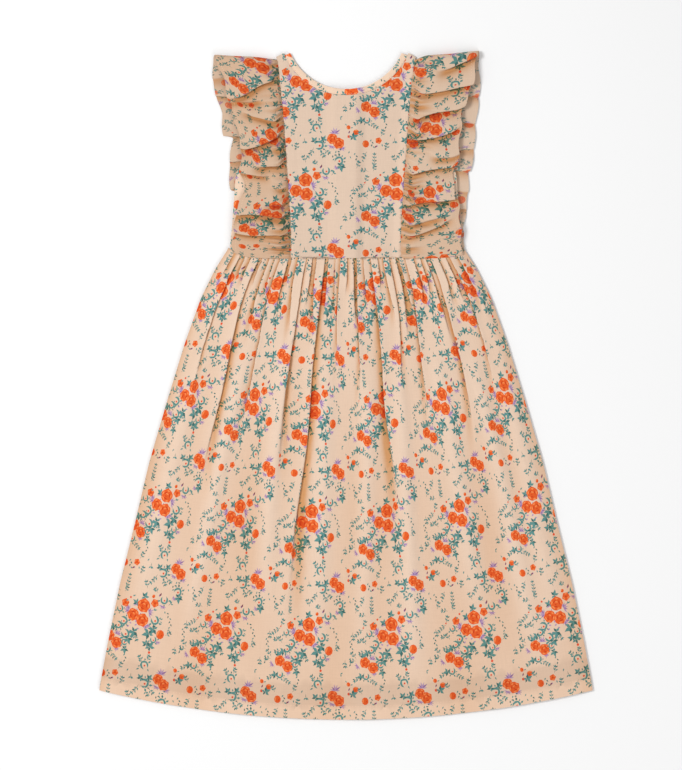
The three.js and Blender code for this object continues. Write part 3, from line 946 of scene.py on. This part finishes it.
def side_outer(y):
    if y <= UNDERARM_Y:
        return lerp(SIDE_SEAM_AT_WAIST, UNDERARM_X, y / UNDERARM_Y)
    up = (y - UNDERARM_Y) / (ARMHOLE_TOP_Y - UNDERARM_Y)
    return lerp(ARMHOLE_TOP_X, UNDERARM_X, max(1.0 - up, 0.0) ** ARMHOLE_HOLLOW)


def stack_low(beyond_seam, y):
    out = smoothstep(beyond_seam, 0.0, STACK_RAMP)
    up = smoothstep(y, 0.0, STACK_WAIST_RAMP)
    return STACK_AT_SEAM + STACK_RISE * out * up


def side_outline(side):
    inner = [(float(princess(y)) + 0.3, y) for y in np.linspace(ARMHOLE_TOP_Y, 0.0, 40)]
    outer = [(side_outer(y), y) for y in np.linspace(0.0, ARMHOLE_TOP_Y, 44)]
    bottom = straight(inner[-1], outer[0], 14)[1:]
    outline = np.array(inner + bottom + outer)
    return outline if side > 0 else (outline * [-1, 1])[::-1]


def side_place(side, low):
    def place(points):
        x, y = points.T
        settle = fade(y, 0.0, 45.0)
        lifted = y + waist_rise(x / WAIST_HALF) * settle
        z = low + stack_low(np.abs(x) - princess(y), y) + WALL / 2
        return np.stack([x, lifted, z], axis=1)
    return place


def binding_outline(start, end):
    angles = np.linspace(start, end, max(int(abs(end - start) / 0.045), 4))
    return np.array(neck_arc(NECK_RADIUS + BINDING_WIDTH, angles) + neck_arc(NECK_RADIUS, angles[::-1]))


def binding_place(low_at, rise):
    def place(points):
        x, y = points.T
        out = np.hypot(x, y - NECK_MIDDLE) - NECK_RADIUS - BINDING_WIDTH / 2
        crown = 0.7 * (1.0 - np.minimum(np.abs(out) / (BINDING_WIDTH / 2), 1.0) ** 4)
        ripple = 0.12 * np.sin(np.arctan2(x, NECK_MIDDLE - y) * 46.0)
        return np.stack([x, y, low_at(x, y) + rise + crown + ripple], axis=1)
    return place


# Ruffles

# Creases of each ruffle from waist to shoulder: where each meets the seam and the free edge, where along
# its width from 0 to 1 it starts and stops, its depth, and how far the cloth laps down over it
RUFFLE_CREASES = {
    "left": {
        "seam": [9, 25, 37, 50, 65, 80, 95, 112, 131, 149, 166, 186, 213, 231],
        "edge": [8, 29, 44, 51, 61, 88, 98, 104, 124, 128, 169, 184, 190, 233],
        "start": [0.0, 0.0, 0.0, 0.0, 0.0, 0.0, 0.4, 0.0, 0.0, 0.0, 0.0, 0.35, 0.0, 0.0],
        "stop": [0.5, 1.3, 0.5, 1.3, 0.6, 0.45, 1.2, 0.8, 0.5, 1.2, 0.9, 1.3, 1.1, 0.35],
        "depth": [2.0, 2.8, 2.0, 3.4, 2.4, 2.2, 2.4, 4.0, 2.2, 4.2, 3.0, 2.4, 3.8, 1.6],
        "lap": [3.0, 7.0, 3.5, 8.0, 5.0, 4.0, 5.0, 8.5, 3.5, 9.0, 7.0, 4.5, 8.0, 2.0],
    },
    "right": {
        "seam": [9, 22, 37, 60, 73, 85, 99, 119, 139, 152, 164, 181, 197, 214, 205],
        "edge": [12, 45, 52, 72, 86, 100, 109, 126, 151, 160, 177, 190, 200, 222, 233],
        "start": [0.0, 0.0, 0.0, 0.0, 0.0, 0.0, 0.0, 0.45, 0.0, 0.0, 0.0, 0.0, 0.0, 0.0, 0.4],
        "stop": [0.45, 1.0, 0.9, 1.3, 0.5, 0.45, 1.2, 1.3, 1.1, 0.5, 1.2, 0.5, 1.3, 0.35, 1.3],
        "depth": [2.0, 2.8, 2.4, 3.2, 2.0, 2.2, 3.8, 2.4, 3.8, 2.2, 3.2, 2.0, 3.2, 1.8, 3.4],
        "lap": [3.0, 5.0, 5.0, 7.5, 3.5, 3.5, 8.5, 5.0, 8.0, 4.0, 7.5, 3.5, 8.0, 2.5, 6.5],
    },
}

# Creases of its back, flatter, as the dress lies on them
RUFFLE_BACK_CREASES = {
    "left": {
        "seam": [20, 50, 82, 115, 148, 190, 214],
        "edge": [16, 50, 80, 115, 146, 190, 212],
        "start": [0.0] * 7,
        "stop": [1.4] * 7,
        "depth": [1.0, 1.2, 1.4, 1.2, 1.4, 1.4, 1.0],
        "lap": [5.0, 6.0, 8.0, 6.0, 8.0, 8.0, 5.0],
    },
    "right": {
        "seam": [30, 56, 84, 114, 127, 160, 196],
        "edge": [31, 57, 80, 103, 127, 158, 190],
        "start": [0.0] * 7,
        "stop": [1.4] * 7,
        "depth": [1.2, 1.2, 1.0, 1.4, 1.4, 1.2, 1.2],
        "lap": [7.0, 6.0, 5.0, 7.0, 7.0, 6.0, 6.0],
    },
}

# Free edges of each ruffle, from the middle of the dress
RUFFLE_EDGE = {
    "left": {
        "front": {"y": [-5, 15, 62, 80, 106, 137, 171, 182, 203, 242],
                  "x": [136, 135.6, 131, 121, 127, 125, 136, 138, 143, 157]},
        "back": {"y": [-5, 15, 50, 62, 79, 81, 115, 144, 147, 173, 189, 208, 242],
                 "x": [137, 135.6, 134, 132.6, 131, 138.8, 140, 136, 146.8, 149, 153.6, 159, 160]},
    },
    "right": {
        "front": {"y": [-5, 9, 38, 53, 74, 98, 111, 137, 182, 205, 247],
                  "x": [138, 138, 136.8, 135.6, 133, 126, 133, 135.6, 140, 150, 158]},
        "back": {"y": [-5, 9, 32, 59, 78, 104, 127, 158, 189, 205, 241],
                 "x": [142, 142, 140, 144, 146, 147.6, 153.6, 154.8, 159, 160.8, 159]},
    },
}
RUFFLE_FULLNESS = 1.5
RUFFLE_LENGTH = 240.0 * RUFFLE_FULLNESS
RUFFLE_WIDTH = 66.0
SHOULDER_TURN = 14.0
STRIP_LENGTH = 2.0 * RUFFLE_LENGTH + SHOULDER_TURN
RUFFLE_HEM = 4.0
RUFFLE_PUFF = 2.4
GATHER_PITCH = 5.8
GATHER_HEIGHT = 1.7
RUFFLE_FOOT = -1.5
RUFFLE_TOP = 234.5
RUFFLE_TILT = {"left": 4.0, "right": 10.0}
RUFFLE_SETTLE = {"left": 0.85, "right": 0.4}
# Each ruffle's colour with painted shade: darker than the skirt for the shade in its many small folds, the
# left ruffle more than the right.
RUFFLE_TONE_AND_SHADE = {"left": np.array([0.775, 0.75, 0.72]), "right": np.array([0.82, 0.825, 0.825])}
RUFFLE_PRINT = {"left": (96.0, 22.0), "right": (-118.0, 30.0)}


def ruffle_folds(creases, share, out, phase):
    """Place up the ruffle, its lift, how far it slides towards the waist, and painted shade in and below a
    crease.
    """
    base_y = lerp(RUFFLE_FOOT, RUFFLE_TOP, share)
    lift = np.zeros_like(base_y)
    slide = np.zeros_like(base_y)
    depth = np.zeros_like(base_y)
    for i, row in enumerate(table_rows(creases)):
        bend = 1.8 * np.sin(4.2 * out + 1.7 * i + phase) * smoothstep(out, 0.0, 0.3)
        at = lerp(row["seam"], row["edge"], out) + bend
        strength = smoothstep(out, row["start"] - 0.06, row["start"] + 0.18)
        strength = strength * fade(out, row["stop"] - 0.35, row["stop"])
        half = 1.7 + 0.22 * row["lap"]
        away = (base_y - at) / half
        lip = bell((away - 2.0) / np.where(away < 2.0, 1.25, 4.2))
        lift = lift + strength * (0.75 * row["depth"] * lip - row["depth"] * bell(away))
        slide = slide + strength * row["lap"] * lip
        # Painted shade along each crease, wider on the side towards the waist.
        shade = bell(away / np.where(away > 0, 1.0, 2.1))
        depth = np.maximum(depth, strength * (0.62 + 0.1 * row["depth"]) * shade)
    return base_y, lift, slide, depth


def ruffle_ripple(base_y, out, phase):
    """Small gathers along the seam."""
    turn = 2.0 * math.pi * (base_y / GATHER_PITCH + 0.9 * np.sin(base_y / 21.0 + phase))
    uneven_size = 0.6 + 0.4 * np.sin(base_y / 8.3 + 2.0 * phase)
    length = 0.46 + 0.22 * np.sin(base_y / 7.1 + phase)
    return np.sin(turn) * uneven_size * fade(out, 0.03, length), turn


def ruffle_half(creases, edge_table, share, out, phase, flatten, tilt):
    base_y, lift, slide, _ = ruffle_folds(creases, share, out, phase)
    base_y = base_y + tilt * out * share ** 4
    ripple, turn = ruffle_ripple(base_y, out, phase)
    puff = RUFFLE_PUFF * (1.0 - np.exp(-np.maximum(out, 0.0) / 0.05)) * lerp(1.0, 0.55, out)
    soft = 0.5 * np.sin(base_y / 6.0 + 5.0 * out + phase) * smoothstep(out, 0.2, 0.5)
    lift = (lift + puff + soft) * flatten + GATHER_HEIGHT * ripple * smoothstep(out, 0.0, 0.05) * flatten
    lift = kept_above(lift, 0.2, 0.6)
    slide = slide * lerp(0.55, 1.0, smoothstep(out, 0.0, 0.2)) * lerp(0.4, 1.0, flatten)
    y = base_y - slide * smoothstep(base_y, RUFFLE_FOOT, RUFFLE_FOOT + 16.0)
    y = y + 0.8 * np.cos(turn) * fade(out, 0.03, 0.3) * smoothstep(base_y, 0.0, 6.0)
    inner = princess(np.clip(y, 0, 245)) - 0.8
    outer = smooth_read(edge_table, "y", base_y, "x")
    sway = 1.4 * np.sin(base_y / 5.0 + phase) * out ** 3 * flatten
    return lerp(inner, outer, out) + sway, y, lift


def ruffle_shares(points, side):
    """Places on the strip: how far along it, and shares of its width, its front and its back."""
    run = -side * points[:, 0]
    out = np.maximum(points[:, 1] / RUFFLE_WIDTH, 0.0)
    front_share = np.clip(run / RUFFLE_LENGTH, 0.0, 1.0)
    back_share = np.clip((STRIP_LENGTH - run) / RUFFLE_LENGTH, 0.0, 1.0)
    return run, out, front_share, back_share


def ruffle_place(side, word):
    def place(points):
        run, out, front_share, back_share = ruffle_shares(points, side)
        turn_share = np.clip((run - RUFFLE_LENGTH) / SHOULDER_TURN, 0.0, 1.0)
        front_x, front_y, front_lift = ruffle_half(
            RUFFLE_CREASES[word], RUFFLE_EDGE[word]["front"], front_share, out, 0.7 + side, 1.0,
            RUFFLE_TILT[word])
        back_x, back_y, back_lift = ruffle_half(
            RUFFLE_BACK_CREASES[word], RUFFLE_EDGE[word]["back"], back_share, out, 2.1 + side, 0.6,
            RUFFLE_TILT[word])
        seam_dive = -1.9 * fade(out, 0.0, 0.055)
        front_z = (stack_low(front_x - princess(np.clip(front_y, 0, 245)), front_y)
                   + 2.0 * (WALL + GAP) + GAP + WALL / 2 + front_lift + seam_dive)
        back_z = WALL / 2 + np.minimum(back_lift, 4.0) * lerp(0.5, 1.0, smoothstep(out, 0.3, 0.8))
        radius = (front_z - back_z) / 2.0
        angle = math.pi * turn_share
        ease = (1.0 - np.cos(angle)) / 2.0
        x = lerp(front_x, back_x, ease)
        y = lerp(front_y, back_y, ease) + radius * np.sin(angle)
        z = lerp(front_z, back_z, ease)
        settle = np.where(turn_share > 0.5, 1.0, RUFFLE_SETTLE[word])
        y = y + waist_rise(x / WAIST_HALF) * fade(y, 0.0, 45.0) * settle
        return np.stack([side * x, y, z], axis=1)
    return place


def ruffle_tint(word, side):
    """The ruffle's narrow hem, and painted shade, darker and warmer, in its creases, between them and along
    the seam.
    """
    def tint(points):
        run, out, front_share, back_share = ruffle_shares(points, side)
        front = run < STRIP_LENGTH / 2
        _, front_lift, _, front_painted_shade = ruffle_folds(RUFFLE_CREASES[word], front_share, out, 0.7 + side)
        back_painted_shade = ruffle_folds(RUFFLE_BACK_CREASES[word], back_share, out, 2.1 + side)[3]
        # Painted shade also in the low places between the lips and in the valleys of the seam gathers.
        front_painted_shade = front_painted_shade + 0.24 * np.exp(-np.maximum(front_lift, 0.0) / 1.5)
        base_y = lerp(RUFFLE_FOOT, RUFFLE_TOP, front_share)
        ripple, _ = ruffle_ripple(base_y, out, 0.7 + side)
        depth = np.where(front, front_painted_shade + 0.8 * np.maximum(-ripple, 0.0), back_painted_shade)
        # Painted shade along the seam.
        painted_seam_shade = 0.18 * np.exp(-out / 0.06)
        hem = bell((RUFFLE_WIDTH - RUFFLE_HEM - points[:, 1]) / 0.5)
        return (1.0 - 0.12 * hem)[:, None] * RUFFLE_TONE_AND_SHADE[word] * painted_fold_shade(depth + painted_seam_shade)
    return tint


def make_ruffle(word, side):
    gathers = 14.0
    outline = rectangle((0, 0), (STRIP_LENGTH, RUFFLE_WIDTH), (420, 16, 420, 16)) * [-side, 1.0]
    dense = grid((1.0, 0.8), (STRIP_LENGTH - 1, gathers), (1.5, 2.0))
    dense += grid((1.0, gathers + 0.8), (STRIP_LENGTH - 1, RUFFLE_WIDTH - 1), (1.7, 3.4))
    shapes = print_over(outline, RUFFLE_PRINT[word], 90.0 * side)
    obj = cloth(f"ruffle_{word}", outline, np.array(dense) * [-side, 1.0], ruffle_place(side, word), shapes,
                None, ruffle_tint(word, side))


def make_binding(node, start, end, low_at, rise):
    return flat_piece(node, binding_outline(start, end), binding_place(low_at, rise), steps=(2.5, 2.0),
                      print_at=(10.0, 190.0), turn=40.0, face_down="back" in node)


def across_seams(low_at):
    """Takes a height that is given across the centre panel, from -1 to 1, at places in millimetres."""
    return lambda x, y: low_at(x / princess(y))


def make_bodice():
    inset = BINDING_WIDTH + 0.3
    top = NECK_TOP_ANGLE
    lap = math.asin(PLACKET_EDGE * SEAM_AT_NECK / NECK_RADIUS)
    edging = make_binding("neck_binding_front", -top, top, front_low_at, WALL)
    flat_piece("bodice_front", centre_outline(-1, 1, -1.0, inset), front_place,
               ["bodice_back_left", "bodice_back_right"], (3.2, 3.6), tint=front_tint)
    edging = make_binding("neck_binding_back_right", -lap, top, across_seams(outer_back_low), THIN / 2)
    flat_piece("bodice_back_right", centre_outline(-PLACKET_EDGE, 1, 0.1, inset),
               back_place(outer_back_low), ["button_1"], face_down=True)
    edging = make_binding("neck_binding_back_left", -top, lap, across_seams(inner_back_low), THIN / 2)
    flat_piece("bodice_back_left", centre_outline(-1, PLACKET_EDGE, 0.1, inset),
               back_place(inner_back_low), ["bodice_back_right_cloth"], face_down=True)
    for word, side in SIDES.items():
        for layer, low in (("back", 0.0), ("front", WALL + GAP)):
            flat_piece(f"side_{layer}_{word}", side_outline(side), side_place(side, low),
                       [f"ruffle_{word}_cloth"], face_down=layer == "back")


def add_camera():
    """Looks straight down. The photo is 0.924 m tall, and its middle is below the waist."""
    scene = bpy.context.scene
    height, tall = 3.0, 0.924
    middle_x, below_waist = -0.006, 0.153
    camera = bpy.data.cameras.new("Camera")
    camera.sensor_fit = "VERTICAL"
    camera.sensor_height = 24.0
    camera.lens = 24.0 * height / tall
    camera.clip_end = 100.0
    scene.camera = add_object("Camera", camera)
    scene.camera.location = (middle_x, WAIST_Y - below_waist, height)
    scene.view_settings.view_transform = "Standard"


def add_lights():
    world = bpy.data.worlds.new("World")
    bpy.context.scene.world = world
    world.use_nodes = True
    background = world.node_tree.nodes["Background"]
    background.inputs["Color"].default_value = (1.0, 1.0, 1.0, 1.0)
    background.inputs["Strength"].default_value = 0.5
    lights = (("Key", (-1.5, 0.45, 2.3), 0.8, 46.0), ("Fill", (1.0, -1.5, 2.0), 2.0, 20.0))
    for name, place, size, power in lights:
        light = bpy.data.lights.new(name, "AREA")
        light.size = size
        light.energy = power
        lamp = add_object(name, light)
        lamp.location = place
        lamp.rotation_euler = (-Vector(place)).to_track_quat("-Z", "Y").to_euler()


def add_floor():
    corners = [(x, y, -0.0005) for x, y in ((-3, -3), (3, -3), (3, 3), (-3, 3))]
    grey = make_plain_material("Floor", np.array([0.93, 0.93, 0.93]), 0.9, 2.0)
    mesh_object("Floor", corners, [(0, 1, 2, 3)], grey)


THREAD = 0.3
BUTTON_THREAD_Z = 0.62


def stitch_row(place, path, length):
    """One bead of thread for each pair of neighbours on a line across a pattern piece."""
    path = np.asarray(path, float)
    middle = (path[:-1] + path[1:]) / 2.0
    along = path[1:] - path[:-1]
    along *= length / 2.0 / np.linalg.norm(along, axis=1, keepdims=True)
    at, normal = surface(place, middle)
    tail, tip = place(middle - along), place(middle + along)
    side = np.cross(normal, unit_rows(tip - tail))
    on_top = normal * THIN / 2.0
    rows = [tail + on_top, tip + on_top] + [at + on_top + d for d in (
        side * THREAD, normal * 0.7 * THREAD, -side * THREAD, -normal * THREAD)]
    verts = np.stack(rows, axis=1).reshape(-1, 3)
    around = ((2, 3), (3, 4), (4, 5), (5, 2))
    faces = np.array([(a, b, 1) for a, b in around] + [(b, a, 0) for a, b in around])
    return verts, (faces[None] + 6 * np.arange(len(middle))[:, None, None]).reshape(-1, 3)


def on_button(centre, shift):
    def place(points):
        level = np.full(len(points), BUTTON_THREAD_Z)
        return np.stack([centre[0] - points[:, 0], centre[1] + shift + points[:, 1], level], axis=1)
    return place


def make_stitches():
    """Sewn lines that show: hems of the skirt and ruffles, the neck binding, and the button threads."""
    rows = []
    hem = [(x, -(SIDE_DROP - HEM_BAND)) for x in np.arange(-296.0, 296.5, 3.6)]
    rows += [stitch_row(skirt_place(front), hem, 2.6) for front in (True, False)]
    for word, side in SIDES.items():
        edge = [(-side * u, RUFFLE_WIDTH - RUFFLE_HEM) for u in np.arange(4.0, STRIP_LENGTH - 3.0, 3.4)]
        rows.append(stitch_row(ruffle_place(side, word), edge, 2.4))
    angles = np.arange(-NECK_TOP_ANGLE + 0.04, NECK_TOP_ANGLE - 0.03, 0.042)
    arc = neck_arc(NECK_RADIUS + BINDING_WIDTH - 1.0, angles)
    rows.append(stitch_row(binding_place(front_low_at, WALL), arc, 2.4))
    for i in range(1, 6):
        low, high = (np.array(c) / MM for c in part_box(f"button_{i}"))
        centre = (low + high) / 2.0 - [0.0, WAIST_Y / MM, 0.0]
        for shift in (-0.8, 0.8):
            rows.append(stitch_row(on_button(centre, shift), [(-1.5, 0.0), (1.5, 0.0)], 2.6))
    verts, faces, count = [], [], 0
    for row_verts, row_faces in rows:
        verts.append(row_verts)
        faces.append(row_faces + count)
        count += len(row_verts)
    verts, faces = to_frame(np.concatenate(verts)), np.concatenate(faces)
    obj = mesh_object("stitches", verts, faces, thread_material)
    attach(obj, "root")


add_camera()
add_lights()
add_floor()
make_skirt("skirt_back", False)
make_skirt("skirt_front", True)
make_bodice()
for word, side in SIDES.items():
    make_ruffle(word, side)
make_stitches()
for name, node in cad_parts.items():
    if name.startswith("button"):
        node.data.materials.clear()
        node.data.materials.append(button_material)
